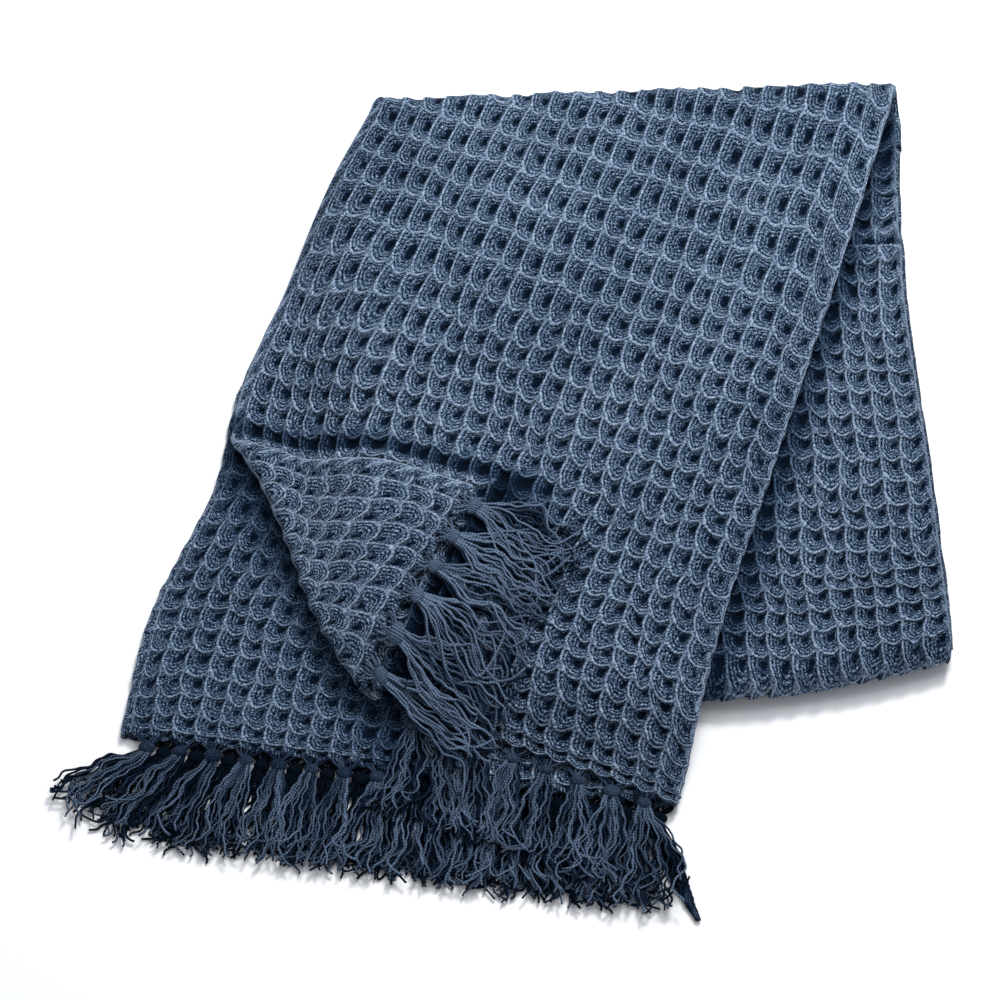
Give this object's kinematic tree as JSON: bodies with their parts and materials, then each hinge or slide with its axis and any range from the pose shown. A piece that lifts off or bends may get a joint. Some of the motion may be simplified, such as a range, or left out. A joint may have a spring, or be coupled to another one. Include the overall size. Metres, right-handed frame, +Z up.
{
  "type": "folded waffle weave cotton throw blanket",
  "caption": "Cotton throw in a deep waffle weave with knotted tassel fringes, folded in thirds and doubled over, one corner turned back.",
  "frame": {"origin": "on the surface that the throw lies on, under the middle of its bounding box", "axes": "+Z up from the surface, -Y towards the front hem and its fringe, +X to the right seen from the front"},
  "size_m": [0.6495, 0.7203, 0.0552],
  "materials": {
    "cloth": "matte washed cotton in a deep waffle weave, denim blue with paler ridges",
    "fringe_yarn": "matte twisted cotton yarn, denim blue, crimped where it was woven"
  },
  "bodies": {
    "root": {"blanket": "cloth", "fringe_corner": "fringe_yarn", "fringe_front_top": "fringe_yarn", "fringe_front_middle": "fringe_yarn", "fringe_front_bottom": "fringe_yarn", "fringe_back_top": "fringe_yarn", "fringe_back_middle": "fringe_yarn", "fringe_back_bottom": "fringe_yarn"}
  },
  "joints": []
}
